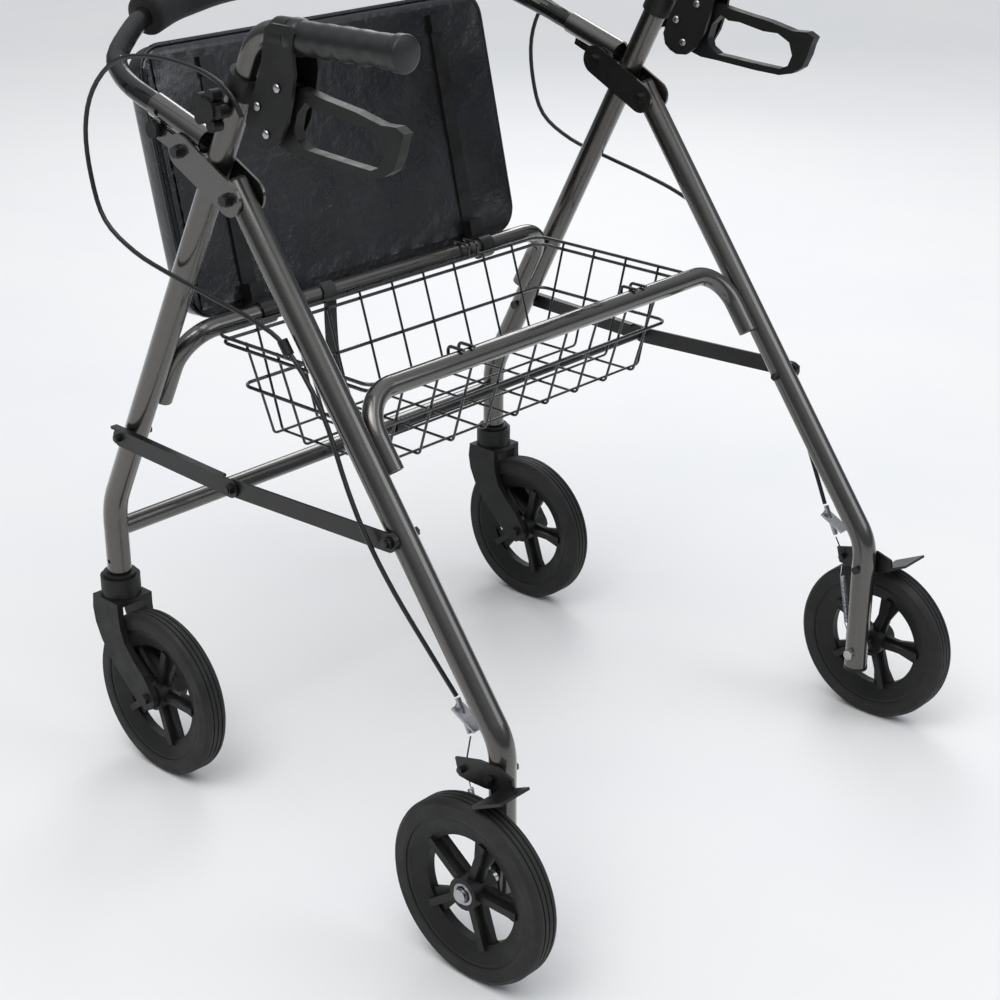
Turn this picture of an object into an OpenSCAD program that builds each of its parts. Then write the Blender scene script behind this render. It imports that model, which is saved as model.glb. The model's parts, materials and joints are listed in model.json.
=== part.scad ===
// Rollator walker: folding frame, four wheels, flip-up seat, wire basket, hand brakes.
// Front is -Y, the user stands on the +Y side, the user's left is +X, the floor is z = 0.

/* [Frame] */
// distance between the centre planes of the left and right legs
leg_span = 640; // [560:5:680]
// outside diameter of the leg tubes
leg_d = 28; // [26:0.5:30]
// outside diameter of the crossbars and of the seat bar
bar_d = 22; // [19:0.5:25]
// wall of the frame tubes
tube_wall = 1.4; // [1:0.1:2]
// height of the two seat bars' centre lines
bar_z = 543; // [520:1:560]

/* [Wheels] */
// diameter of all four wheels
wheel_d = 200; // [180:5:210]
// width of a tyre
tyre_w = 30; // [26:1:32]

/* [Handles] */
// height of the grips' centre line in the lowest setting
grip_z = 893; // [880:1:920]
// length of a rubber grip
grip_length = 146; // [120:1:160]

/* [Seat and basket] */
// width of the seat pad
seat_w = 526; // [480:2:540]
// depth of the seat pad, hinge edge to free edge
seat_l = 296; // [280:2:310]
// how far the raised seat leans forward of upright
seat_lean = 13; // [5:1:18]
// height of the basket
basket_h = 116; // [100:1:118]

/* [Hidden] */
$fn = 48;
leg_x = leg_span / 2;
lean = 27.28;
up = [0, sin(lean), cos(lean)];
function leg_at(z) = [leg_x, -191 + tan(lean) * (z - 600), z];
swivel_y = -335;
caster_y = -270;
rear_y = 270;
axle_z = wheel_d / 2;
rear_wheel_x = leg_x + 42;
hinge = [leg_x, -80.9, 726.2];
front_bolt = [leg_x, -152.1, 762.8];
rake = 36.05;
down = [0, sin(rake), -cos(rake)];
function rear_at(z) = hinge + down * (hinge.z - z) / cos(rake);
bar_x = leg_x - leg_d / 2 - bar_d / 2;
brace_a = [leg_x, -282.3, 423];
brace_m = [leg_x, -95, 416.5];
brace_b = [leg_x, 137.6, 426];
rod_d = 8;
leg_face = leg_x + leg_d / 2;
brake_pivot = [leg_x, rear_y, 213];
lever_pivot = [leg_x, -18, 801];
slide_d = leg_d - 2 * tube_wall - 0.1;
basket_y = -84;
basket_top = 541;
wire = 4;
seat_drop = 19;

function unit(v) = v / norm(v);
function turn(a, b, c) = acos(unit(b - a) * unit(c - b));
function setback(p, r, i) =
  i == 0 || i == len(p) - 1 ? 0 : r * tan(turn(p[i - 1], p[i], p[i + 1]) / 2);

module both() {
  children();
  mirror([1, 0, 0]) children();
}

// round bar from point a to point b
module rod(a, b, d) {
  v = b - a;
  translate(a)
    rotate([0, acos(v.z / norm(v)), atan2(v.y, v.x)])
      cylinder(d = d, h = norm(v));
}

// round bar on an axis along x, from x = a to x = b, at height and depth of point p
module pin(p, a, b, d) rod([a, p.y, p.z], [b, p.y, p.z], d);

// a bend and its straights stop this far short of each other, inside a thin band that joins them
seam = 0.1;
band = 0.8;

// bend of radius r at corner b between points a and c, with a joining band at each end
module bend(a, b, c, r, d) {
  u = unit(b - a);
  w = unit(c - b);
  half = turn(a, b, c) / 2;
  short = asin(seam / r);
  centre = b + unit(w - u) * r / cos(half);
  x = unit(b - u * r * tan(half) - centre);
  z = cross(x, u);
  multmatrix([[x.x, u.x, z.x, centre.x], [x.y, u.y, z.y, centre.y], [x.z, u.z, z.z, centre.z], [0, 0, 0, 1]])
    rotate(short) rotate_extrude(angle = 2 * (half - short))
      translate([r, 0]) circle(d = d);
  for (end = [b - u * r * tan(half), b + w * r * tan(half)]) {
    v = end == b - u * r * tan(half) ? u : w;
    rod(end - v * band, end + v * band, d + seam);
  }
}

// bent bar through the points p, every bend with radius r
module bent(p, r, d) {
  last = len(p) - 1;
  for (i = [0 : last - 1]) {
    u = unit(p[i + 1] - p[i]);
    rod(p[i] + u * (setback(p, r, i) + (i == 0 ? 0 : seam)),
        p[i + 1] - u * (setback(p, r, i + 1) + (i + 1 == last ? 0 : seam)), d);
  }
  if (last > 1)
    for (i = [1 : last - 1]) bend(p[i - 1], p[i], p[i + 1], r, d);
}

// flat plate cut to an outline of [y, z] points, between x = a and x = b
module plate(outline, a, b)
  translate([a, 0, 0]) rotate([90, 0, 90]) linear_extrude(b - a) polygon(outline);

// outline of a flat bar with round ends between points a and b
function stadium(a, b, w) =
  let (t = atan2(b.z - a.z, b.y - a.y))
  [for (e = [[a, 90], [b, -90]]) for (k = [0 : 12 : 180])
    [e[0].y + w / 2 * cos(t + e[1] + k), e[0].z + w / 2 * sin(t + e[1] + k)]];

// flat bar with round ends between points a and b, from x = x0 to x = x1
module link(a, b, w, x0, x1) plate(stadium(a, b, w), x0, x1);

// hexagon nut or bolt head on an x axis
module hex(p, a, b, w) translate([a, p.y, p.z]) rotate([0, 90, 0]) cylinder(d = w, h = b - a, $fn = 6);

// ---- front frame ----

leg_foot = [leg_x, swivel_y, 238];
leg_knee = [leg_x, swivel_y, 600 + (swivel_y + 191) / tan(lean)];
leg_top = leg_at(836);

module front_leg() {
  color("dimgray") difference() {
    bent([leg_foot, leg_knee, leg_top], 90, leg_d);
    bent([leg_foot - [0, 0, 5], leg_knee, leg_top + up * 5], 90, leg_d - 2 * tube_wall);
    pin(brace_a, leg_x - 20, leg_x + 20, 6);
    pin(leg_at(818), leg_x, leg_x + 20, 8);
    pin([leg_x, swivel_y, 252], leg_x, leg_x + 20, 5);
  }
}

module lower_crossbar() {
  color("dimgray") difference() {
    rod([-leg_x, swivel_y, 290], [leg_x, swivel_y, 290], bar_d);
    rod([-leg_x - 1, swivel_y, 290], [leg_x + 1, swivel_y, 290], bar_d - 2 * tube_wall);
    both() rod([leg_x, swivel_y, 270], [leg_x, swivel_y, 310], leg_d);
  }
}

// bar bent to a U, its ends lying along the legs
module u_bar(end, corner) {
  far = [-1, 1, 1];
  a = [bar_x, end.y, end.z];
  b = [bar_x, corner.y, corner.z];
  path = [a, b, [-b.x, b.y, b.z], [-a.x, a.y, a.z]];
  tip = unit(a - b) * 3;
  difference() {
    bent(path, 45, bar_d);
    bent([a + tip, b, path[2], path[3] + [tip.x, tip.y, tip.z]], 45, bar_d - 2 * tube_wall);
  }
  both() rod(a + unit(b - a) * 8 + [11, 0, 0], a + unit(b - a) * 34 + [11, 0, 0], 5);
}

module seat_support_bar() color("dimgray") u_bar(leg_at(461), leg_at(bar_z));

// two plates each side, welded across the front leg, with a hole at each end
module hinge_plates() {
  color("dimgray") both() for (x = [leg_x - 17.2, leg_x + 14.2]) difference() {
    link(front_bolt, hinge, 35, x, x + 3);
    pin(front_bolt, x - 1, x + 4, 8);
    pin(hinge, x - 1, x + 4, 8);
  }
}

module hinge_bolts() {
  color("black") both() for (p = [front_bolt, hinge]) {
    pin(p, leg_x - 20, leg_x + 23, 8);
    pin(p, leg_x + 17.2, leg_x + 20, 14);
    hex(p, leg_x + 20, leg_x + 25, 12);
    hex(p, leg_x - 23, leg_x - 17.2, 13);
  }
}

socket_low = [leg_x, -126, 774];
socket_high = [leg_x, -204, 799];

// tubes that hold the backrest, with the tab for the release button below
module backrest_sockets() {
  color("dimgray") both() {
    difference() {
      rod(socket_low, socket_high, 26);
      rod(socket_low - (socket_high - socket_low), socket_high + (socket_high - socket_low), 22.1);
      pin([0, -190, 795], leg_x + 5, leg_x + 20, 7);
    }
    difference() {
      plate([[-142, 768], [-202, 786], [-206, 772], [-196, 768], [-150, 752]], leg_x + 8, leg_x + 11);
      pin(front_bolt, leg_x, leg_x + 20, 8);
      pin([0, -194, 778], leg_x, leg_x + 20, 8.1);
    }
  }
}

// plastic sleeves at the top of the front legs, which guide the handle tubes
module leg_collars() {
  color("black") both() difference() {
    rod(leg_top - up * 8, leg_top + up * 16, leg_d + 6);
    rod(leg_top - up * 9, leg_top, leg_d);
    rod(leg_top - up, leg_top + up * 17, slide_d + 0.1);
  }
}

// nylon plugs in the feet of the front legs, in which the caster stems turn
module caster_bushings() {
  color("white") both() difference() {
    rod([leg_x, swivel_y, 240], [leg_x, swivel_y, 290], leg_d - 2 * tube_wall);
    rod([leg_x, swivel_y, 239], [leg_x, swivel_y, 291], 12.1);
  }
}

// bolts through the front legs, on which the front brace links turn
module brace_pivots() {
  color("black") both() {
    pin(brace_a, leg_x - 16, leg_x + 30, 6);
    pin(brace_a, leg_face, leg_x + 20.8, 13);
    hex(brace_a, leg_x + 24.3, leg_x + 29, 10);
    pin(brace_a, leg_x - 18, leg_x - 14, 11);
  }
}

// ---- rear frame ----

rear_top = hinge - down * 14;
rear_knee = rear_at(726.2 - (rear_y + 80.9) / tan(rake));
rear_foot = [leg_x, rear_y, 80];

module rear_leg() {
  color("dimgray") difference() {
    bent([rear_top, rear_knee, rear_foot], 60, leg_d);
    bent([rear_top - down * 2, rear_knee, rear_foot - [0, 0, 2]], 60, leg_d - 2 * tube_wall);
    pin(hinge, leg_x - 20, leg_x + 20, 8.1);
    pin(brace_b, leg_x - 20, leg_x + 20, 6);
    pin(brake_pivot, leg_x - 20, leg_x + 20, 6);
    pin([0, rear_y, axle_z], leg_x - 20, leg_x + 20, 8);
  }
}

module rear_crossbar() color("dimgray") u_bar(rear_at(476), rear_at(bar_z));

// plugs in the open ends of the rear legs
module rear_leg_plugs() {
  color("black") both() {
    rod(rear_top, rear_top - down * 3, leg_d - 2);
    rod(rear_foot, rear_foot - [0, 0, 4], leg_d + 1);
  }
}

// axle bolts of the rear wheels, with their spacers and heads
module rear_axles() {
  color("silver") both() {
    p = [0, rear_y, axle_z];
    pin(p, leg_x - 17, rear_wheel_x + 20, 8);
    pin(p, leg_face, rear_wheel_x - 16.3, 15);
    pin(p, rear_wheel_x + 16.3, rear_wheel_x + 21, 15);
    hex(p, leg_x - 20, leg_x - leg_d / 2, 13);
  }
}

// round spacers that hold the rear brace links off the legs
module brace_spacers() {
  color("black") both() {
    pin(brace_b, leg_face, leg_x + 17.7, 19);
    pin(brace_b, leg_x - 19, leg_face, 6);
    hex(brace_b, leg_x - 19, leg_x - leg_d / 2, 10);
  }
}

stop_y = 217.5;
stop_z = 261;
cable_in = [leg_x + 1, 209, 276];

// tabs on the rear legs with the threaded barrel that ends each cable's sleeve
module cable_stops() {
  axis = unit([0, 11.5, -23]);
  seat = [leg_x + 1, stop_y, stop_z];
  color("silver") both() difference() {
    union() {
      translate(seat) rotate([-26.5, 0, 0]) translate([-8, -9, -1.5]) cube([16, 34, 3]);
      rod(seat - axis * 15, seat + axis * 22, 6);
      translate(seat - axis * 7) rotate([-26.5 + 180, 0, 0]) cylinder(d = 10, h = 4, $fn = 6);
    }
    rod(seat - axis * 17, seat + axis * 24, 2);
    bent([rear_top, rear_knee, rear_foot], 60, leg_d);
  }
}

clip = [leg_face + 3.5, -4, 592];

module cable_clips() {
  color("black") both() difference() {
    rod(clip - down * 8, clip + down * 8, 11);
    rod(clip - down * 9, clip + down * 9, 5.2);
    bent([rear_top, rear_knee, rear_foot], 60, leg_d);
  }
}

module brake_pivots() {
  color("black") both() {
    pin(brake_pivot, leg_x - 16, leg_x + 24, 6);
    hex(brake_pivot, leg_x + 18.2, leg_x + 23, 10);
    hex(brake_pivot, leg_x - 19, leg_x - leg_d / 2, 10);
  }
}

// ---- folding brace ----

module brace_front() {
  color("black") difference() {
    union() {
      link(brace_a, brace_m, 20, leg_x + 21, leg_x + 24);
      translate([leg_x + 15.5, brace_a.y, brace_a.z]) rotate([-2, 0, 0])
        translate([0, -14, 7]) cube([8.5, 186, 3]);
    }
    pin(brace_a, leg_x + 15, leg_x + 25, 6.1);
    pin(brace_m, leg_x + 15, leg_x + 25, rod_d);
  }
}

module cross_rod() {
  color("black") {
    rod([-leg_x - 30, brace_m.y, brace_m.z], [leg_x + 30, brace_m.y, brace_m.z], rod_d);
    both() hex(brace_m, leg_x + 24, leg_x + 29, 13);
  }
}

module brace_rear() {
  color("black") {
    difference() {
      link(brace_m, brace_b, 20, leg_x + 18, leg_x + 20.7);
      pin(brace_m, leg_x + 15, leg_x + 25, rod_d + 0.1);
    }
    pin(brace_b, leg_x + 20.7, leg_x + 25, 13);
    hex(brace_b, leg_x + 25, leg_x + 29, 10);
  }
}

strap_x = 78;
strap_w = 18;

// webbing strap from the seat bar to the cross rod, pulled up by hand to fold the frame
module fold_strap() {
  top = leg_at(bar_z);
  color("black") {
    difference() {
      union() {
        pin(top, strap_x, strap_x + strap_w, bar_d + 4);
        pin(brace_m, strap_x, strap_x + strap_w, rod_d + 4);
        plate([[-208.2, 543], [-206, 510], [-201, 474], [-188, 440], [-173, 417], [-150, 405.5],
               [-97, 410.5], [-97, 412.5], [-149, 407.5], [-171.5, 418.5], [-186.3, 441],
               [-199, 474.5], [-204, 510], [-206.4, 543]],
              strap_x, strap_x + strap_w);
      }
      pin(top, strap_x - 1, strap_x + strap_w + 1, bar_d + 0.4);
      pin(brace_m, strap_x - 1, strap_x + strap_w + 1, rod_d + 0.4);
    }
  }
}

// ---- wheels ----

rim_r = 81;
hub_r = 17.5;
bearing_r = 12.3;
spokes = 5;

// plastic wheel centre about an x axis at its own origin
module rim() {
  color("black") rotate([0, 90, 0]) difference() {
    union() {
      rotate_extrude() polygon([[59, -5], [77, -13], [rim_r, -13], [rim_r, 13], [77, 13], [59, 5]]);
      cylinder(r = hub_r, h = tyre_w + 2, center = true);
      for (i = [0 : spokes - 1]) rotate(i * 360 / spokes + 18) {
        translate([12, -4, -10]) cube([52, 8, 20]);
        translate([0, 0, -2.5]) linear_extrude(5)
          polygon([[14, -9.5], [34, -8], [63, -15], [63, 15], [34, 8], [14, 9.5]]);
      }
    }
    cylinder(r = 4.05, h = 60, center = true);
    for (s = [-1, 1]) translate([0, 0, s * 16]) cylinder(r = bearing_r, h = 2, center = true);
  }
}

// solid rubber tyre with three grooves in the tread
module tyre() {
  r = wheel_d / 2;
  w = tyre_w / 2;
  color("dimgray") rotate([0, 90, 0]) rotate_extrude() difference() {
    polygon([[rim_r, -w + 1], [r - 16, -w], [r - 5, -w], [r - 1, -w + 3.5], [r, -w + 6],
             [r, w - 6], [r - 1, w - 3.5], [r - 5, w], [r - 16, w], [rim_r, w - 1]]);
    for (y = [-6, 0, 6]) translate([r, y]) square([3, 1.6], center = true);
  }
}

module at_rear_wheel() translate([rear_wheel_x, rear_y, axle_z]) children();
module at_caster_wheel() translate([leg_x, caster_y, axle_z]) children();

// swivelling fork: collar, crown, two curved arms, stem and axle bolt
module caster_fork() {
  arm = [[-357, 206], [-359, 190], [-356, 172], [-347, 152], [-331, 130], [-312, 112], [-287, 89],
         [-270, 84.5], [-258, 91], [-255, 100], [-257, 107], [-272, 128], [-288, 142], [-303, 160],
         [-309, 176], [-311, 192], [-311, 206]];
  color("black") {
    difference() {
      union() {
        rod([leg_x, swivel_y, 204], [leg_x, swivel_y, 232], 46);
        rod([leg_x, swivel_y, 232], [leg_x, swivel_y, 236.5], 38);
        translate([leg_x - 25, -357, 202]) cube([50, 46, 6]);
        for (x = [-25, 17]) plate(arm, leg_x + x, leg_x + x + 8);
      }
      pin([0, caster_y, axle_z], leg_x - 30, leg_x + 30, 8);
    }
    rod([leg_x, swivel_y, 230], [leg_x, swivel_y, 280], 12);
  }
  color("silver") {
    pin([0, caster_y, axle_z], leg_x - 28, leg_x + 28, 8);
    for (x = [-30, 25]) hex([0, caster_y, axle_z], leg_x + x, leg_x + x + 5, 13);
  }
}

// ---- brakes ----

// bell crank with a clamp for the wire in front and a shoe over the tread behind
module brake_arm() {
  x = leg_x + 14.5;
  color("black") difference() {
    union() {
      plate([[222, 219], [227, 200], [240, 199], [262, 200], [280, 203], [300, 212], [298, 224],
             [278, 230], [254, 228]], x, x + 3);
      plate([[283, 202.5], [319, 221], [318, 223.8], [281, 205.5]], x, leg_x + 56);
      pin([0, 232, 209], x - 6, x + 8, 7);
    }
    pin(brake_pivot, x - 1, x + 4, 6.1);
  }
}

// close-wound return springs from the brake arms down to the axle tabs
module brake_springs() {
  top = [leg_x + 10, 233.5, 199];
  low = [leg_x + 10, 250, 112];
  u = unit(low - top);
  color("silver") both() {
    rod(top, low, 1.6);
    rod(top + u * 14, low - u * 14, 7);
  }
}

cable_d = 5;
// sleeve of the brake cable: round numbers along its run from the handle to the stop
cable_route = [
  [338, -52, 812], [340, -64, 832], [341, -88, 845], [341, -125, 852], [344, -180, 854],
  [345, -235, 842],
  [346, -275, 808], [346, -293, 765], [346, -290, 715], [346, -272, 672], [346, -225, 647],
  [346, -165, 634], [344, -100, 622], [340, -45, 610], [337.5, -4, 592], [338.5, 45, 540],
  [346, 88, 470], [348, 116, 426], [342, 146, 376], [330, 184, 316], [321, 209, 276]
];
cable_steps = 4;

// point at parameter t of a smooth curve through the route
function route_at(p, t) =
  let (i = min(floor(t), len(p) - 2), f = t - i,
       a = p[max(i - 1, 0)], b = p[i], c = p[i + 1], d = p[min(i + 2, len(p) - 1)])
  0.5 * (2 * b + (c - a) * f + (2 * a - 5 * b + 4 * c - d) * f * f + (3 * b - a - 3 * c + d) * f ^ 3);

// tube with flat sides swept along the list of points p; across is never along the tube
module sweep(p, d, side = 8, across = [1, 0, 0]) {
  n = len(p);
  points = [
    for (i = [0 : n - 1])
      let (t = unit(p[min(i + 1, n - 1)] - p[max(i - 1, 0)]),
           u = unit(cross(t, across)), v = cross(t, u))
      for (k = [0 : side - 1]) p[i] + (u * cos(k * 360 / side) + v * sin(k * 360 / side)) * d / 2
  ];
  walls = [
    for (i = [0 : n - 2]) for (k = [0 : side - 1])
      let (a = i * side + k, b = i * side + (k + 1) % side)
      [a, b, b + side, a + side]
  ];
  polyhedron(points, concat([[for (k = [side - 1 : -1 : 0]) k]], walls,
                            [[for (k = [0 : side - 1]) (n - 1) * side + k]]));
}

module brake_cable() {
  last = (len(cable_route) - 1) * cable_steps;
  color("black") {
    sweep([for (i = [0 : last]) route_at(cable_route, i / cable_steps)], cable_d);
    rod([leg_x + 1, 228, 238], [leg_x + 12, 232, 213.8], 1.6);
  }
}

// ---- handles ----

handle_corner = leg_at(grip_z);
grip_end = [leg_x, 155, grip_z + 3];

module handle_tube() {
  color("dimgray") difference() {
    bent([leg_at(640), handle_corner, grip_end - [0, 3, 0]], 42, slide_d);
    rod(leg_at(636), leg_at(830), slide_d - 2.4);
  }
}

housing = [[-14, 901], [-18, 885], [-21, 869], [-31, 846], [-42, 825], [-48, 808], [-45, 796],
           [-38, 790], [-28, 786], [-14, 787], [0, 797], [11, 815], [19, 839], [24, 863],
           [22, 885], [26, 900], [20, 906], [-6, 906]];

// brake lever housing: two cheeks, a band round the handle tube, and three rivets
module brake_housing() {
  color("black") difference() {
    union() {
      for (x = [-17, 13]) plate(housing, leg_x + x, leg_x + x + 4);
      rod([leg_x, -12, grip_z - 0.6], [leg_x, 8, grip_z], 35);
      plate([[-21, 869], [-42, 825], [-38, 824], [-17, 868]], leg_x - 13, leg_x + 13);
    }
    bent([leg_at(640), handle_corner, grip_end], 42, slide_d);
  }
  color("silver") for (p = [[0, 0, 847], [0, -29, 826], lever_pivot])
    pin(p, leg_x - 18, leg_x + 18, 6);
}

// rubber grip turned about the handle tube
module grip() {
  color("black") translate([leg_x, 10, grip_z]) rotate([-90 + 1.2, 0, 0]) difference() {
    rotate_extrude() polygon([[0, 0], [18.5, 0], [18.5, 6], [16, 12], [15.4, 26], [16.2, 60],
                              [16.4, 110], [16, 128], [17.5, 134], [17.5, grip_length - 3],
                              [15, grip_length], [0, grip_length]]);
    translate([0, 0, -1]) cylinder(d = slide_d, h = grip_length - 4);
  }
}

lever_out = [[18, 848], [54, 842], [93, 837], [126, 830], [145, 831], [155, 826], [151, 817],
             [148, 806], [141, 791], [128, 783], [111, 779], [78, 780], [23, 784], [0, 785],
             [-18, 790], [-28, 796], [-29, 806], [-20, 812], [-4, 810], [4, 820], [12, 836]];
lever_in = [[26, 836], [37, 831], [53, 831], [69, 828], [86, 825], [106, 825], [122, 817],
            [127, 803], [122, 791], [111, 786], [71, 788], [24, 791], [12, 798], [9, 808], [14, 824]];

module brake_lever() {
  color("black") difference() {
    plate(lever_out, leg_x - 6, leg_x + 6);
    plate(lever_in, leg_x - 7, leg_x + 7);
    pin(lever_pivot, leg_x - 7, leg_x + 7, 6.1);
  }
}

// five-lobed knob that clamps the handle tube
module height_knob() {
  p = leg_at(818);
  color("black") {
    pin(p, leg_face - 1.3, leg_x + 34, 7.9);
    pin(p, leg_x + 24, leg_x + 41, 24);
    for (i = [0 : 4])
      pin(p + [0, 15 * cos(i * 72), 15 * sin(i * 72)], leg_x + 27, leg_x + 39, 13);
  }
}

// ---- seat ----

// seat parts are drawn flat and lifted by this to the raised position
module raised() translate([0, leg_at(bar_z).y, bar_z]) rotate([90 + seat_lean, 0, 0]) children();

// rounded board with its lower face at height z0
module board(w, l, r, z0, z1)
  translate([-w / 2, 8, z0]) linear_extrude(z1 - z0) polygon([
    for (c = [[w - r, r, 270], [w - r, l - r, 0], [r, l - r, 90], [r, r, 180]])
      for (a = [0 : 15 : 90]) [c[0] + r * cos(c[2] + a), c[1] + r * sin(c[2] + a)]
  ]);

module seat_pad() {
  color("black") raised() board(seat_w, seat_l, 30, seat_drop + 9, seat_drop + 40);
}

module seat_board() {
  color("black") raised() board(seat_w - 12, seat_l - 12, 26, seat_drop, seat_drop + 9);
}

// clamps that turn on the front seat bar, with arms along the seat board and rests for the rear bar
module seat_brackets() {
  color("black") raised() for (x = [-185, 170]) translate([x, 0, 0]) difference() {
    union() {
      rotate([0, 90, 0]) cylinder(d = bar_d + 6, h = 20);
      translate([0, 0, 3]) cube([20, 34, seat_drop - 3]);
      translate([0, 34, seat_drop - 4]) cube([20, 230, 4]);
      translate([0, 262, bar_d / 2 + 0.3]) cube([20, 22, seat_drop - bar_d / 2 - 0.3]);
    }
    translate([-1, 0, 0]) rotate([0, 90, 0]) cylinder(d = bar_d + 0.1, h = 22);
  }
}

// ---- backrest ----

hoop_half = [socket_low + (socket_high - socket_low) * 0.12, [leg_x, -165, 786.5],
             [leg_x, -204, 799], [leg_x, -240, 810.5], [leg_x - 6, -268, 821], [302, -290, 832],
             [272, -309, 848], [236, -326, 862], [190, -337, 872], [130, -343, 880], [60, -345.5, 884]];
hoop_right = [for (i = [len(hoop_half) - 1 : -1 : 0]) [-hoop_half[i].x, hoop_half[i].y, hoop_half[i].z]];
hoop_route = concat(hoop_half, [[0, -346, 885]], hoop_right);

// part of the hoop between two numbered points, smoothed
function hoop_points(from, to, steps) =
  [for (i = [from * steps : to * steps]) route_at(hoop_route, i / steps)];

module backrest_tube() color("black") sweep(hoop_points(0, len(hoop_route) - 1, 3), 22, 20, [0, 0, 1]);

module backrest_foam() color("black") sweep(hoop_points(7, len(hoop_route) - 8, 3), 46, 24, [0, 0, 1]);

module release_buttons() {
  color("black") both() {
    pin([0, -194, 778], leg_x + 2, leg_x + 14, 8);
    pin([0, -194, 778], leg_x + 14, leg_x + 18, 18);
  }
}

// ---- basket ----

rim_w = 262;
rim_l = 120;
foot_w = 228;
foot_l = 84;

// half depth or half width of the basket at height fraction f
function half_l(f) = foot_l + (rim_l - foot_l) * f;
function half_w(f) = foot_w + (rim_w - foot_w) * f;
function wire_z(f) = basket_top - basket_h * (1 - f);

// closed rectangle of wire round the basket at height fraction f
module wire_ring(f) {
  x = half_w(f);
  y = half_l(f);
  z = wire_z(f);
  c = [0, basket_y, 0];
  bent([c + [seam, -y, z], c + [x, -y, z], c + [x, y, z], c + [-x, y, z], c + [-x, -y, z], c + [-seam, -y, z]],
       14, wire);
  rod(c + [-band, -y, z], c + [band, -y, z], wire + seam);
}

// double wire hook over a seat bar
module hook(x, sy) for (dx = [0, 16]) {
  p = [x + dx, basket_y + sy * rim_l, basket_top];
  bent([p, p + [0, 0, 15], p + [0, sy * 23, 15]], 5, wire - 0.4);
}

module basket_rim() {
  color("black") for (f = [0.5, 0.93, 1]) wire_ring(f);
}

module basket_hooks() {
  color("black") for (x = [-150, 134], s = [-1, 1]) hook(x, s);
}

thin = wire - 1;
inset = (wire + thin) / 2 - 0.5;

// wires that run down the front, under the floor and up the back
module basket_cross_wires() {
  color("black") for (i = [-4 : 4]) {
    x = i * 52;
    bent([[x, basket_y - rim_l + inset, basket_top], [x, basket_y - foot_l + inset, wire_z(0)],
          [x, basket_y + foot_l - inset, wire_z(0)], [x, basket_y + rim_l - inset, basket_top]], 6, thin);
  }
}

// wires that run down one side, along the floor and up the other side
module basket_long_wires() {
  color("black") for (i = [-1.5 : 1.5]) {
    y = basket_y + i * 50;
    z = wire_z(0) + thin - 0.5;
    bent([[-rim_w + inset, y, basket_top], [-foot_w + inset, y, z], [foot_w - inset, y, z],
          [rim_w - inset, y, basket_top]], 6, thin);
  }
}

front_leg();  // front_leg_left
mirror([1, 0, 0]) front_leg();  // front_leg_right
lower_crossbar();
seat_support_bar();
hinge_plates();
hinge_bolts();
backrest_sockets();
leg_collars();
caster_bushings();
brace_pivots();
rear_leg();  // rear_leg_left
mirror([1, 0, 0]) rear_leg();  // rear_leg_right
rear_crossbar();
rear_leg_plugs();
rear_axles();
brace_spacers();
cable_stops();
cable_clips();
brake_pivots();
brace_front();  // brace_front_left
mirror([1, 0, 0]) brace_front();  // brace_front_right
cross_rod();
fold_strap();
brace_rear();  // brace_rear_left
mirror([1, 0, 0]) brace_rear();  // brace_rear_right
at_rear_wheel() rim();  // rear_rim_left
mirror([1, 0, 0]) at_rear_wheel() rim();  // rear_rim_right
at_rear_wheel() tyre();  // rear_tyre_left
mirror([1, 0, 0]) at_rear_wheel() tyre();  // rear_tyre_right
caster_fork();  // caster_fork_left
mirror([1, 0, 0]) caster_fork();  // caster_fork_right
at_caster_wheel() rim();  // caster_rim_left
mirror([1, 0, 0]) at_caster_wheel() rim();  // caster_rim_right
at_caster_wheel() tyre();  // caster_tyre_left
mirror([1, 0, 0]) at_caster_wheel() tyre();  // caster_tyre_right
brake_arm();  // brake_arm_left
mirror([1, 0, 0]) brake_arm();  // brake_arm_right
brake_springs();
brake_cable();  // brake_cable_left
mirror([1, 0, 0]) brake_cable();  // brake_cable_right
handle_tube();  // handle_tube_left
mirror([1, 0, 0]) handle_tube();  // handle_tube_right
brake_housing();  // brake_housing_left
mirror([1, 0, 0]) brake_housing();  // brake_housing_right
grip();  // grip_left
mirror([1, 0, 0]) grip();  // grip_right
brake_lever();  // brake_lever_left
mirror([1, 0, 0]) brake_lever();  // brake_lever_right
height_knob();  // height_knob_left
mirror([1, 0, 0]) height_knob();  // height_knob_right
seat_pad();
seat_board();
seat_brackets();
backrest_tube();
backrest_foam();
release_buttons();
basket_rim();
basket_hooks();
basket_cross_wires();
basket_long_wires();
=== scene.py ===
"""Rollator walker: looks, soft pieces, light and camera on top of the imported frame."""

import json
import math

import bmesh
import bpy
from mathutils import Matrix, Vector

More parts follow.
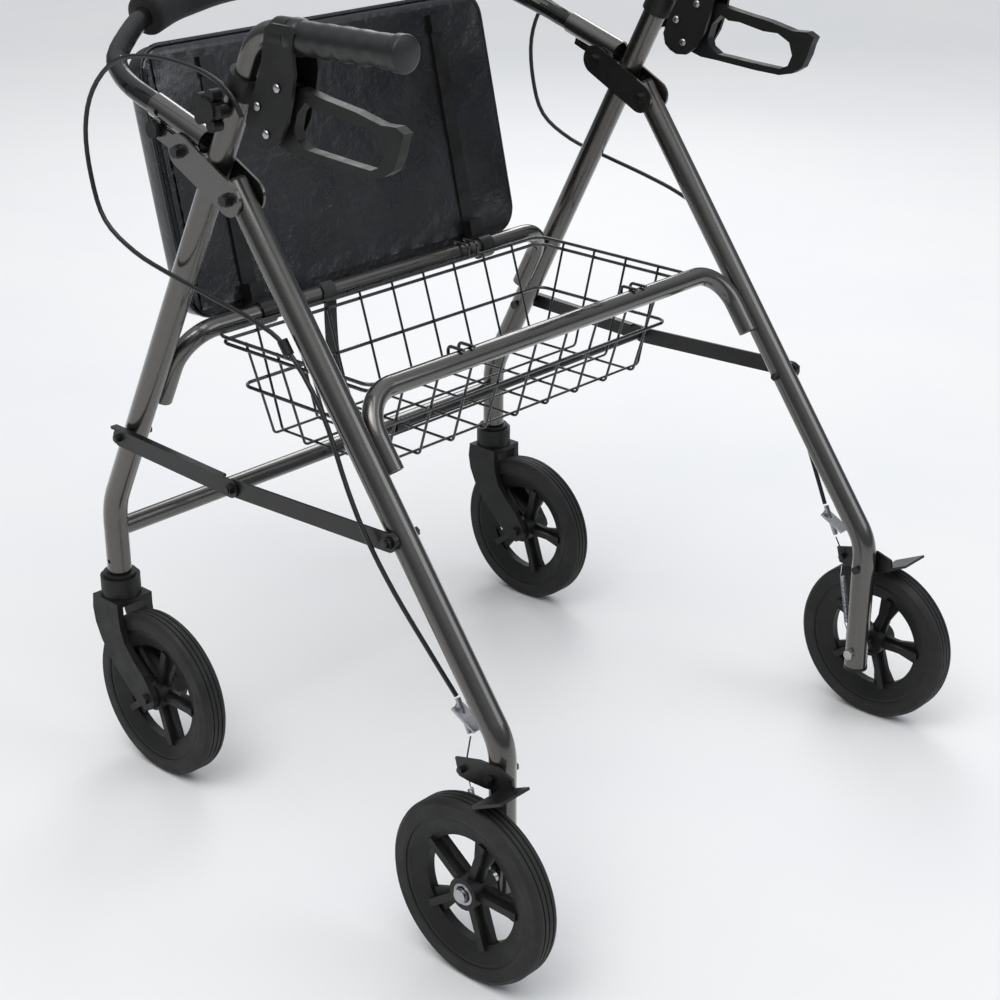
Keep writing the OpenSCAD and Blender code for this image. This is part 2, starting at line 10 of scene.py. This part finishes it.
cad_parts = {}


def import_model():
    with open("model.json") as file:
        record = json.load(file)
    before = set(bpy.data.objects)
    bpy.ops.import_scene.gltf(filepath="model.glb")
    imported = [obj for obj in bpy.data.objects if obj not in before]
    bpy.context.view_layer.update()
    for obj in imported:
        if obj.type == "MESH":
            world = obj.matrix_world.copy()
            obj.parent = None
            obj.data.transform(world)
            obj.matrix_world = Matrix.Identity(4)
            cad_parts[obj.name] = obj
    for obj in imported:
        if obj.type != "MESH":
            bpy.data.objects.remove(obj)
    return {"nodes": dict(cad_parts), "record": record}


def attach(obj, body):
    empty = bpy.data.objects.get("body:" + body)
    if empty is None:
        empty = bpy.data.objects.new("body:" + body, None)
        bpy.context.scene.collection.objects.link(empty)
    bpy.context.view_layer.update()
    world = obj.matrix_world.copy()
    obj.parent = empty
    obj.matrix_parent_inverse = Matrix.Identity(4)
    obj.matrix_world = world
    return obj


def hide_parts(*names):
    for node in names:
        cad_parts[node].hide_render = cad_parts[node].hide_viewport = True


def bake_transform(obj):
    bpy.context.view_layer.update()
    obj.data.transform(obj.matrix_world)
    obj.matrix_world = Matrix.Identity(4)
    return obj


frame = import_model()

# driving dimensions, in metres
LEG_X = 0.32
SEAT_HINGE = Vector((0.0, -0.2204, 0.543))
SEAT_LEAN = math.radians(13)
SEAT_W = 0.526
SEAT_L = 0.296
SEAT_BOTTOM = 0.019
SEAT_CORNER = 0.032
SEAT_START = 0.008
GRIP_START = Vector((LEG_X, 0.010, 0.893))
GRIP_LEN = 0.146
SPRING_TOP = Vector((LEG_X + 0.010, 0.2335, 0.199))
BEARING_FACE = Vector((0.3775, 0.270, 0.1))
SPRING_LOW = Vector((LEG_X + 0.010, 0.250, 0.112))
CAMERA_AT = Vector((1.5445, 1.3923, 1.2285))
CAMERA_LOOK = Vector((-0.6770, -0.6166, -0.4018))
CAMERA_ROLL = math.radians(0.18)
CAMERA_LENS = 70.9
CAMERA_SHIFT = (-0.0088, 0.0047)

SIDES = {"left": 1, "right": -1}


def save_bounds():
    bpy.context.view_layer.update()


save_bounds()


# ---- materials ----


def material(name, base, rough, metal=0.0, coat=0.0, coat_rough=0.1, spec=0.5, sheen=0.0):
    """A Principled material; returns (material, shader node)."""
    m = bpy.data.materials.new(name)
    m.use_nodes = True
    shader = m.node_tree.nodes["Principled BSDF"]
    shader.inputs["Base Color"].default_value = (*base, 1)
    shader.inputs["Roughness"].default_value = rough
    shader.inputs["Metallic"].default_value = metal
    shader.inputs["Coat Weight"].default_value = coat
    shader.inputs["Coat Roughness"].default_value = coat_rough
    shader.inputs["Specular IOR Level"].default_value = spec
    shader.inputs["Sheen Weight"].default_value = sheen
    return m, shader


def coords(tree):
    """Object-space coordinates."""
    return tree.nodes.new("ShaderNodeTexCoord").outputs["Object"]


def noise(tree, scale, detail=4.0, rough=0.6, stretch=(1, 1, 1)):
    """Noise value in object space."""
    mapping = tree.nodes.new("ShaderNodeMapping")
    mapping.inputs["Scale"].default_value = stretch
    tree.links.new(coords(tree), mapping.inputs["Vector"])
    n = tree.nodes.new("ShaderNodeTexNoise")
    n.inputs["Scale"].default_value = scale
    n.inputs["Detail"].default_value = detail
    n.inputs["Roughness"].default_value = rough
    tree.links.new(mapping.outputs["Vector"], n.inputs["Vector"])
    return n.outputs["Fac"]


def ramp(tree, fac, stops):
    """Colour ramp over fac; stops are (place, grey or colour)."""
    r = tree.nodes.new("ShaderNodeValToRGB")
    tree.links.new(fac, r.inputs["Fac"])
    elements = r.color_ramp.elements
    while len(elements) < len(stops):
        elements.new(0.5)
    for e, (place, c) in zip(elements, stops):
        e.position = place
        e.color = (c, c, c, 1) if isinstance(c, float) else (*c, 1)
    return r.outputs["Color"]


def bump(tree, shader, height, strength, distance):
    """Adds a bump; several calls stack."""
    b = tree.nodes.new("ShaderNodeBump")
    b.inputs["Strength"].default_value = strength
    b.inputs["Distance"].default_value = distance
    tree.links.new(height, b.inputs["Height"])
    before = shader.inputs["Normal"].links
    if before:
        tree.links.new(before[0].from_socket, b.inputs["Normal"])
    tree.links.new(b.outputs["Normal"], shader.inputs["Normal"])


def frame_paint():
    """Gunmetal metallic paint under clear coat: fine flake, faint orange peel, light wear."""
    m, s = material("gunmetal", (0.06, 0.056, 0.052), 0.3, metal=0.9, coat=1.0, coat_rough=0.04)
    t = m.node_tree
    flake = noise(t, 2600, 2)
    t.links.new(ramp(t, flake, [(0.3, (0.050, 0.047, 0.043)), (0.7, (0.125, 0.118, 0.110))]),
                s.inputs["Base Color"])
    t.links.new(ramp(t, noise(t, 9, 6), [(0.35, 0.24), (0.75, 0.36)]), s.inputs["Roughness"])
    bump(t, s, noise(t, 420, 2), 0.05, 0.0002)
    return m


def black_steel(name="black_steel", smooth=0.30, worn=0.50):
    """Black powder coat with small scuffs, satin or, on the backrest tube, glossy."""
    m, s = material(name, (0.006, 0.006, 0.006), 0.38, coat=0.2, coat_rough=0.25, spec=0.35)
    t = m.node_tree
    t.links.new(ramp(t, noise(t, 60, 8), [(0.4, (0.004, 0.004, 0.004)), (0.8, (0.012, 0.0115, 0.011))]),
                s.inputs["Base Color"])
    t.links.new(ramp(t, noise(t, 30, 6), [(0.35, smooth), (0.75, worn)]), s.inputs["Roughness"])
    bump(t, s, noise(t, 1100, 2), 0.15 * smooth, 0.0002)
    return m


def black_plastic():
    """Moulded black plastic with a fine spark texture."""
    m, s = material("black_plastic", (0.006, 0.006, 0.006), 0.5, spec=0.35)
    t = m.node_tree
    t.links.new(ramp(t, noise(t, 24, 6), [(0.3, (0.004, 0.004, 0.004)), (0.8, (0.010, 0.010, 0.0095))]),
                s.inputs["Base Color"])
    t.links.new(ramp(t, noise(t, 45, 5), [(0.3, 0.42), (0.75, 0.62)]), s.inputs["Roughness"])
    bump(t, s, noise(t, 1500, 3), 0.35, 0.0003)
    return m


def tyre_rubber():
    """Grey-black tyre, dusty in patches."""
    m, s = material("tyre_rubber", (0.030, 0.030, 0.030), 0.62, spec=0.35)
    t = m.node_tree
    t.links.new(ramp(t, noise(t, 18, 7), [(0.3, (0.009, 0.009, 0.0095)), (0.75, (0.021, 0.0205, 0.020))]),
                s.inputs["Base Color"])
    t.links.new(ramp(t, noise(t, 35, 5), [(0.3, 0.50), (0.75, 0.74)]), s.inputs["Roughness"])
    bump(t, s, noise(t, 700, 4), 0.25, 0.0004)
    return m


def grip_rubber():
    """Dense black rubber with a fine pebble."""
    m, s = material("grip_rubber", (0.018, 0.018, 0.019), 0.42, spec=0.5)
    t = m.node_tree
    t.links.new(ramp(t, noise(t, 40, 6), [(0.3, 0.34), (0.75, 0.52)]), s.inputs["Roughness"])
    t.links.new(ramp(t, noise(t, 15, 6), [(0.3, (0.005, 0.005, 0.005)), (0.8, (0.012, 0.012, 0.012))]),
                s.inputs["Base Color"])
    bump(t, s, noise(t, 1300, 3), 0.3, 0.0003)
    return m


def vinyl(name="vinyl", dark=(0.004, 0.0045, 0.006), pale=(0.011, 0.013, 0.017)):
    """Black upholstery vinyl: pebble grain and soft creases."""
    m, s = material(name, dark, 0.3, spec=0.6, coat=0.35, coat_rough=0.16)
    t = m.node_tree
    t.links.new(ramp(t, noise(t, 8, 5), [(0.3, dark), (0.8, pale)]),
                s.inputs["Base Color"])
    t.links.new(ramp(t, noise(t, 14, 6), [(0.3, 0.22), (0.75, 0.40)]), s.inputs["Roughness"])
    v = t.nodes.new("ShaderNodeTexVoronoi")
    v.inputs["Scale"].default_value = 700
    t.links.new(coords(t), v.inputs["Vector"])
    bump(t, s, v.outputs["Distance"], 0.35, 0.0004)
    bump(t, s, noise(t, 9, 5, 0.6), 0.75, 0.009)
    return m


def foam():
    """Closed-cell foam tube: matt, pitted."""
    m, s = material("foam", (0.016, 0.016, 0.017), 0.8, spec=0.25, sheen=0.15)
    t = m.node_tree
    t.links.new(ramp(t, noise(t, 25, 6), [(0.3, (0.005, 0.005, 0.0055)), (0.8, (0.013, 0.013, 0.0135))]),
                s.inputs["Base Color"])
    t.links.new(ramp(t, noise(t, 120, 5), [(0.3, 0.72), (0.75, 0.92)]), s.inputs["Roughness"])
    bump(t, s, noise(t, 900, 5, 0.75), 0.7, 0.0006)
    return m


def webbing():
    """Woven strap with a twill of fine ribs."""
    m, s = material("webbing", (0.012, 0.012, 0.012), 0.75, spec=0.3, sheen=0.2)
    t = m.node_tree
    w = t.nodes.new("ShaderNodeTexWave")
    w.inputs["Scale"].default_value = 420
    w.inputs["Distortion"].default_value = 0.6
    w.bands_direction = "DIAGONAL"
    t.links.new(coords(t), w.inputs["Vector"])
    t.links.new(ramp(t, w.outputs["Fac"], [(0.2, (0.006, 0.006, 0.006)), (0.8, (0.026, 0.026, 0.026))]),
                s.inputs["Base Color"])
    bump(t, s, w.outputs["Fac"], 0.6, 0.0004)
    return m


def zinc():
    """Bright zinc plate, slightly brushed and dulled."""
    m, s = material("zinc", (0.42, 0.42, 0.44), 0.3, metal=1.0)
    t = m.node_tree
    brushed = noise(t, 90, 6, stretch=(1, 1, 8))
    t.links.new(ramp(t, brushed, [(0.3, 0.2), (0.75, 0.42)]), s.inputs["Roughness"])
    t.links.new(ramp(t, noise(t, 40, 6), [(0.3, (0.30, 0.30, 0.32)), (0.75, (0.52, 0.52, 0.54))]),
                s.inputs["Base Color"])
    bump(t, s, noise(t, 900, 2, stretch=(1, 1, 6)), 0.1, 0.0001)
    return m


def black_wire():
    """Gloss black dipped coating on the basket wire."""
    m, s = material("black_wire", (0.008, 0.008, 0.008), 0.2, coat=0.5, coat_rough=0.1)
    t = m.node_tree
    t.links.new(ramp(t, noise(t, 60, 5), [(0.3, 0.14), (0.75, 0.34)]), s.inputs["Roughness"])
    t.links.new(ramp(t, noise(t, 20, 5), [(0.3, (0.006, 0.006, 0.006)), (0.8, (0.016, 0.016, 0.016))]),
                s.inputs["Base Color"])
    bump(t, s, noise(t, 300, 3), 0.15, 0.0004)
    return m


SLOTS = {
    "frame_paint": frame_paint(),
    "black_steel": black_steel(),
    "black_plastic": black_plastic(),
    "zinc": zinc(),
    "tyre": tyre_rubber(),
    "grip_rubber": grip_rubber(),
    "vinyl": vinyl(),
    "backing": vinyl("backing", (0.003, 0.0033, 0.0045), (0.008, 0.009, 0.012)),
    "foam": foam(),
    "webbing": webbing(),
    "black_wire": black_wire(),
}

SLOT_OF = {p["node"]: p["material_slot"] for p in frame["record"]["subparts"]}


def paint(obj, slot):
    """Gives obj the slot's material."""
    obj.data.materials.clear()
    obj.data.materials.append(SLOTS[slot])


EDGE = {"brake_lever": 0.0018, "brake_housing": 0.0012, "caster_fork": 0.0022, "height_knob": 0.0015,
        "brace": 0.0004, "hinge_plates": 0.0006, "brake_arm": 0.0005, "seat_brackets": 0.0012}


def soften_edges(obj):
    """Small rounded edges on moulded and pressed pieces."""
    for start, width in EDGE.items():
        if obj.name.startswith(start):
            b = obj.modifiers.new("edges", "BEVEL")
            b.width = width
            b.segments = 3
            b.limit_method = "ANGLE"
            b.angle_limit = math.radians(40)
            b.use_clamp_overlap = True


for name, obj in frame["nodes"].items():
    paint(obj, SLOT_OF[name])
    soften_edges(obj)

# the backrest tube has the same black coat, but glossy
frame["nodes"]["backrest_tube"].data.materials[0] = black_steel("gloss_black", 0.10, 0.20)


# ---- helpers for drawn pieces ----


def mesh_object(name, bm, slot, smooth=True):
    """A new object from bm in the slot's material."""
    me = bpy.data.meshes.new(name)
    bm.to_mesh(me)
    bm.free()
    obj = bpy.data.objects.new(name, me)
    bpy.context.collection.objects.link(obj)
    for p in me.polygons:
        p.use_smooth = smooth
    paint(obj, slot)
    return obj


def ring_of(bm, centre, u, v, radius, sides, shape=None):
    """A loop of verts round centre; shape(angle) scales the radius."""
    out = []
    for k in range(sides):
        a = 2 * math.pi * k / sides
        r = radius * (shape(a) if shape else 1)
        out.append(bm.verts.new(centre + u * (r * math.cos(a)) + v * (r * math.sin(a))))
    return out


def skin(bm, rings, caps=True):
    """Faces between successive rings."""
    n = len(rings[0])
    for a, b in zip(rings, rings[1:]):
        for k in range(n):
            bm.faces.new((a[k], a[(k + 1) % n], b[(k + 1) % n], b[k]))
    if caps:
        bm.faces.new(list(reversed(rings[0])))
        bm.faces.new(rings[-1])


def tube(bm, points, radius, sides=10):
    """A round tube through points; radius is a number or one per point."""
    rings = []
    u = None
    for i, p in enumerate(points):
        t = (points[min(i + 1, len(points) - 1)] - points[max(i - 1, 0)]).normalized()
        if u is None:
            u = t.orthogonal().normalized()
        u = (u - t * u.dot(t)).normalized()
        r = radius[i] if isinstance(radius, list) else radius
        rings.append(ring_of(bm, p, u, t.cross(u), r, sides))
    skin(bm, rings)


def mirrored(points, side):
    """points moved to the given side."""
    return [Vector((p[0] * SIDES[side], p[1], p[2])) for p in points]


# ---- springs ----


def spring(side):
    """Close-wound return spring with an end hook each way."""
    axis = (SPRING_LOW - SPRING_TOP).normalized()
    u = axis.orthogonal().normalized()
    v = axis.cross(u)
    length = (SPRING_LOW - SPRING_TOP).length
    turns = 34
    hook = 0.014
    pts = [SPRING_TOP.copy()]
    for i in range(turns * 12 + 1):
        a = 2 * math.pi * i / 12
        pts.append(SPRING_TOP + axis * (hook + (length - 2 * hook) * i / (turns * 12))
                   + (u * math.cos(a) + v * math.sin(a)) * 0.0029)
    pts.append(SPRING_LOW.copy())
    bm = bmesh.new()
    tube(bm, mirrored(pts, side), 0.0006, 6)
    obj = mesh_object(f"return_spring_{side}", bm, "zinc")
    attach(obj, "rear_frame")
    return obj


springs = [spring(s) for s in SIDES]
for s in springs:
    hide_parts("brake_springs")


# ---- grips ----


def grip(side):
    """Rubber grip: flange, palm swell, four finger grooves below, thicker rounded end."""
    bm = bmesh.new()
    rings = []
    sides = 40
    steps = 150
    axis = Vector((0, 1, math.tan(math.radians(1.2)))).normalized()
    up = Vector((0, 0, 1))
    x = Vector((1, 0, 0))
    for i in range(steps + 1):
        f = i / steps
        s = f * GRIP_LEN
        r = 0.0158 + 0.0009 * math.sin(math.pi * min(1, f * 1.1))
        if s < 0.010:
            r = 0.0184 - 0.0018 * (s / 0.010) ** 4
        if s > GRIP_LEN - 0.012:
            r = 0.0176 - 0.0035 * max(0, (s - GRIP_LEN + 0.003) / 0.003) ** 2
        groove = 0.0
        if 0.022 < s < 0.118:
            groove = 0.0016 * (0.5 - 0.5 * math.cos(2 * math.pi * (s - 0.022) / 0.024))
        c = mirrored([GRIP_START + axis * s], side)[0]

        def shape(a, r=r, g=groove):
            below = max(0.0, -math.sin(a))
            outer = 0.35 + 0.65 * below ** 0.5 if below else 0.35
            return (r - g * outer) / r

        rings.append(ring_of(bm, c, x, up, r, sides, shape))
    skin(bm, rings)
    obj = mesh_object(f"rubber_grip_{side}", bm, "grip_rubber")
    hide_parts(f"grip_{side}")
    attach(obj, f"handle_{side}")
    return obj


for s in SIDES:
    grip(s)


# ---- seat ----


def seat_to_row(p):
    """A point of the flat seat (x, distance from the hinge, height) in the raised seat's place."""
    turn = Matrix.Rotation(math.pi / 2 + SEAT_LEAN, 3, "X")
    return turn @ Vector(p) + SEAT_HINGE


def rounded(w, l, r, inset, steps=8):
    """Outline of a rounded rectangle, inset from the seat's edge."""
    out = []
    hw, r = w / 2 - inset, max(r - inset, 0.004)
    y0, y1 = SEAT_START + inset, SEAT_START + l - inset
    corners = ((hw - r, y0 + r, 270), (hw - r, y1 - r, 0), (-hw + r, y1 - r, 90),
               (-hw + r, y0 + r, 180))
    for cx, cy, a0 in corners:
        for k in range(steps + 1):
            a = math.radians(a0 + 90 * k / steps)
            out.append((cx + r * math.cos(a), cy + r * math.sin(a)))
    return out


def cushion():
    """Padded seat: crowned vinyl cover, welted edge, corners drawn under and creased."""
    profile = [(0.030, 0.0192), (0.012, 0.0188), (0.004, 0.0205), (0.0006, 0.0260), (0.0, 0.0340),
               (0.0010, 0.0440), (0.0035, 0.0515), (0.010, 0.0570), (0.024, 0.0588), (0.060, 0.0590),
               (0.110, 0.0590)]
    bm = bmesh.new()
    rings = []
    for inset, z in profile:
        ring = []
        outline = rounded(SEAT_W, SEAT_L, SEAT_CORNER, inset)
        for k, (x, y) in enumerate(outline):
            pull = 0.0
            corner = (k % 9) / 8
            if z < 0.03:
                pull = 0.0012 * math.sin(corner * math.pi * 7) * math.sin(math.pi * corner)
            ring.append(bm.verts.new(seat_to_row((x, y, z + pull))))
        rings.append(ring)
    skin(bm, rings, caps=False)
    centre = bm.verts.new(seat_to_row((0, SEAT_START + SEAT_L / 2, 0.0592)))
    last = rings[-1]
    for k in range(len(last)):
        bm.faces.new((last[k], last[(k + 1) % len(last)], centre))
    obj = mesh_object("seat_cushion", bm, "vinyl")
    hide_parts("seat_pad")
    sub = obj.modifiers.new("smooth", "SUBSURF")
    sub.levels = sub.render_levels = 2
    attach(obj, "seat")
    return obj


cushion()


def piping():
    """Welt cord round the seat's lower edge."""
    bm = bmesh.new()
    pts = [seat_to_row((x, y, 0.0235)) for x, y in rounded(SEAT_W, SEAT_L, SEAT_CORNER, 0.0004, 10)]
    tube(bm, pts + pts[:1], 0.0022, 8)
    obj = mesh_object("seat_piping", bm, "vinyl")
    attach(obj, "seat")


piping()


def underside():
    """Vinyl drawn under the seat board, puckered along its edges and creased in the middle."""
    bm = bmesh.new()
    nx, ny = 60, 36
    hw, y0, y1 = SEAT_W / 2 - 0.014, SEAT_START + 0.010, SEAT_START + SEAT_L - 0.012
    grid = []
    for j in range(ny + 1):
        row = []
        for i in range(nx + 1):
            fx, fy = i / nx, j / ny
            edge = min(fx, 1 - fx, fy, 1 - fy)
            pucker = 0.0022 * math.exp(-edge * 14) * math.sin(fx * 61 + fy * 47 + 2 * math.sin(fx * 9))
            sag = 0.0016 * math.sin(fx * 9 + 1.3 * math.sin(fy * 7)) * math.sin(fy * 6 + fx * 3)
            z = SEAT_BOTTOM - 0.0004 - abs(pucker) - max(0.0, sag)
            row.append(bm.verts.new(seat_to_row((-hw + 2 * hw * fx, y0 + (y1 - y0) * fy, z))))
        grid.append(row)
    for j in range(ny):
        for i in range(nx):
            bm.faces.new((grid[j][i], grid[j][i + 1], grid[j + 1][i + 1], grid[j + 1][i]))
    obj = mesh_object("seat_backing", bm, "backing")
    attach(obj, "seat")


underside()


# ---- backrest foam ----


# centre line of the foam-covered part of the hoop
HOOP = [(0.236, -0.326, 0.862), (0.190, -0.337, 0.872), (0.130, -0.343, 0.880), (0.060, -0.3455, 0.884),
        (0.0, -0.346, 0.885), (-0.060, -0.3455, 0.884), (-0.130, -0.343, 0.880), (-0.190, -0.337, 0.872),
        (-0.236, -0.326, 0.862)]


def curve_points(route, steps):
    """Smooth points through route."""
    out = []
    n = len(route)
    for i in range(n - 1):
        a, b = Vector(route[max(i - 1, 0)]), Vector(route[i])
        c, d = Vector(route[i + 1]), Vector(route[min(i + 2, n - 1)])
        for k in range(steps):
            t = k / steps
            out.append(0.5 * (2 * b + (c - a) * t + (2 * a - 5 * b + 4 * c - d) * t * t
                              + (3 * b - a - 3 * c + d) * t ** 3))
    out.append(Vector(route[-1]))
    return out


def backrest_roll():
    """Foam sleeve on the hoop, slightly uneven, with rounded ends."""
    pts = curve_points(HOOP, 14)
    n = len(pts)
    radii = []
    for i in range(n):
        end = min(i, n - 1 - i)
        r = 0.0226 + 0.00025 * math.sin(i * 0.37) + 0.0002 * math.sin(i * 0.11)
        radii.append(r if end > 1 else r - (0.003 if end == 0 else 0.0008))
    bm = bmesh.new()
    tube(bm, pts, radii, 36)
    obj = mesh_object("foam_roll", bm, "foam")
    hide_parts("backrest_foam")
    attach(obj, "backrest")


backrest_roll()


# ---- folding strap ----


# the strap from side view (y, z): round the seat bar, down, round the cross rod and back
STRAP_X = 0.087
STRAP = [(-0.2204, 0.5565), (-0.2095, 0.5510), (-0.2073, 0.5400), (-0.2050, 0.5100), (-0.2000, 0.4740),
         (-0.1870, 0.4405), (-0.1720, 0.4177), (-0.1495, 0.4075), (-0.1100, 0.4100), (-0.0985, 0.4098),
         (-0.0935, 0.4098), (-0.0885, 0.4140), (-0.0890, 0.4200), (-0.0950, 0.4228), (-0.1020, 0.4200),
         (-0.1120, 0.4150)]


def strap():
    """Webbing from the seat bar to the cross rod, looped round the rod and stitched back."""
    route = [(STRAP_X, y, z) for y, z in STRAP]
    pts = curve_points(route, 6)
    bm = bmesh.new()
    rings = []
    half, thick = 0.009, 0.0009
    for i, p in enumerate(pts):
        t = (pts[min(i + 1, len(pts) - 1)] - pts[max(i - 1, 0)]).normalized()
        x = Vector((1, 0, 0))
        n = t.cross(x).normalized()
        lean = 0.012 * math.sin(math.pi * i / len(pts)) * Vector((1, 0, 0))
        rings.append([bm.verts.new(p + lean + x * a * half + n * b * thick)
                      for a, b in ((-1, -1), (0, -1), (1, -1), (1, 1), (0, 1), (-1, 1))])
    skin(bm, rings)
    obj = mesh_object("fold_webbing", bm, "webbing", smooth=False)
    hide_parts("fold_strap")
    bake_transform(obj)


strap()


# ---- cable sleeves ----


def cable(side):
    """A smooth-shaded copy of the imported brake cable sleeve in grip rubber, attached to neither frame.
    """
    node = f"brake_cable_{side}"
    source = frame["nodes"][node]
    copy = source.copy()
    copy.data = source.data.copy()
    copy.name = f"cable_sleeve_{side}"
    bpy.context.collection.objects.link(copy)
    copy.parent = None
    copy.matrix_world = Matrix.Identity(4)
    for key in list(copy.keys()):
        del copy[key]
    copy.modifiers.clear()
    for p in copy.data.polygons:
        p.use_smooth = True
    paint(copy, "grip_rubber")
    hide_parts(node)
    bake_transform(copy)


for s in SIDES:
    cable(s)


# ---- rivet heads and bearings ----


def washer(name, centre, r_out, r_in, depth, slot, body, side):
    """A bright ring seen on the outboard face of a wheel."""
    bm = bmesh.new()
    x = Vector((SIDES[side], 0, 0))
    u, v = Vector((0, 1, 0)), Vector((0, 0, 1))
    c = mirrored([centre], side)[0]
    rings = [ring_of(bm, c, u, v, r_in, 40), ring_of(bm, c + x * depth, u, v, r_in + 0.0006, 40),
             ring_of(bm, c + x * depth, u, v, r_out - 0.0006, 40), ring_of(bm, c, u, v, r_out, 40)]
    skin(bm, rings, caps=False)
    obj = mesh_object(f"{name}_{side}", bm, slot)
    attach(obj, body)


for s in SIDES:
    washer("bearing", BEARING_FACE, 0.0122, 0.0085, 0.0009, "zinc", f"rear_wheel_{s}", s)

# the rivets in side view (y, z), and the two cheek faces they stand on (x)
RIVET_FACES = (0.3375, 0.3025)
RIVETS = [(0.0, 0.847), (-0.029, 0.826), (-0.018, 0.801)]


def rivets(side):
    """Bright domed heads on the outer cheek of the brake housing."""
    bm = bmesh.new()
    for y, z in RIVETS:
        for face in RIVET_FACES:
            out = 1 if face > LEG_X else -1
            c = Vector((face * SIDES[side], y, z))
            x = Vector((out * SIDES[side], 0, 0))
            rings = [ring_of(bm, c + x * d, Vector((0, 1, 0)), Vector((0, 0, 1)), r, 20)
                     for d, r in ((0.0, 0.0046), (0.0012, 0.0044), (0.0022, 0.0034), (0.0026, 0.0016))]
            skin(bm, rings)
    obj = mesh_object(f"rivet_heads_{side}", bm, "zinc")
    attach(obj, f"handle_{side}")


for s in SIDES:
    rivets(s)


# ---- room, light and camera ----


def floor():
    """Plain pale sweep under and behind the walker."""
    bm = bmesh.new()
    bmesh.ops.create_grid(bm, x_segments=1, y_segments=1, size=14)
    me = bpy.data.meshes.new("floor")
    bm.to_mesh(me)
    bm.free()
    obj = bpy.data.objects.new("floor", me)
    bpy.context.collection.objects.link(obj)
    m, s = material("floor", (0.75, 0.75, 0.755), 0.55, spec=0.25)
    t = m.node_tree
    t.links.new(ramp(t, noise(t, 1.5, 3), [(0.3, (0.735, 0.74, 0.75)), (0.75, (0.775, 0.77, 0.76))]),
                s.inputs["Base Color"])
    obj.data.materials.append(m)


def area(name, at, aim, size, power, colour=(1, 1, 1)):
    """A soft area light."""
    data = bpy.data.lights.new(name, "AREA")
    data.shape = "RECTANGLE"
    data.size, data.size_y = size
    data.energy = power
    data.color = colour
    obj = bpy.data.objects.new(name, data)
    bpy.context.collection.objects.link(obj)
    obj.location = at
    obj.rotation_euler = (Vector(aim) - Vector(at)).to_track_quat("-Z", "Y").to_euler()


def soft_sun(strength, spread):
    """An even light from above, wide enough for blurred shadows."""
    data = bpy.data.lights.new("overhead", "SUN")
    data.energy = strength
    data.angle = math.radians(spread)
    obj = bpy.data.objects.new("overhead", data)
    bpy.context.collection.objects.link(obj)
    obj.rotation_euler = (math.radians(-14), math.radians(18), 0)


def world():
    """Pale sky, brighter overhead."""
    w = bpy.data.worlds.new("studio")
    bpy.context.scene.world = w
    w.use_nodes = True
    t = w.node_tree
    back = t.nodes["Background"]
    back.inputs["Strength"].default_value = 1.0
    split = t.nodes.new("ShaderNodeSeparateXYZ")
    t.links.new(t.nodes.new("ShaderNodeTexCoord").outputs["Generated"], split.inputs["Vector"])
    sky = [(0.0, (0.10, 0.11, 0.12)), (0.45, (0.30, 0.32, 0.35)), (0.62, (0.55, 0.57, 0.60)),
           (0.9, (0.85, 0.87, 0.90))]
    t.links.new(ramp(t, split.outputs["Z"], sky), back.inputs["Color"])


def camera():
    data = bpy.data.cameras.new("camera")
    data.lens = CAMERA_LENS
    data.sensor_width = 36
    data.shift_x, data.shift_y = CAMERA_SHIFT
    obj = bpy.data.objects.new("camera", data)
    bpy.context.collection.objects.link(obj)
    turn = CAMERA_LOOK.to_track_quat("-Z", "Y").to_matrix() @ Matrix.Rotation(CAMERA_ROLL, 3, "Z")
    obj.matrix_world = Matrix.Translation(CAMERA_AT) @ turn.to_4x4()
    bpy.context.scene.camera = obj


floor()
world()
soft_sun(1.1, 50)
area("key", (1.8, 0.2, 3.0), (0, 0, 0.4), (1.6, 1.2), 20, (1.0, 0.97, 0.93))
area("fill", (-1.2, 2.6, 2.2), (0, 0, 0.5), (2.0, 1.5), 18, (0.93, 0.96, 1.0))
area("rim", (-2.4, -2.0, 2.4), (0, 0, 0.5), (1.6, 1.6), 30)
camera()
bpy.context.scene.view_settings.view_transform = "Standard"

save_bounds()
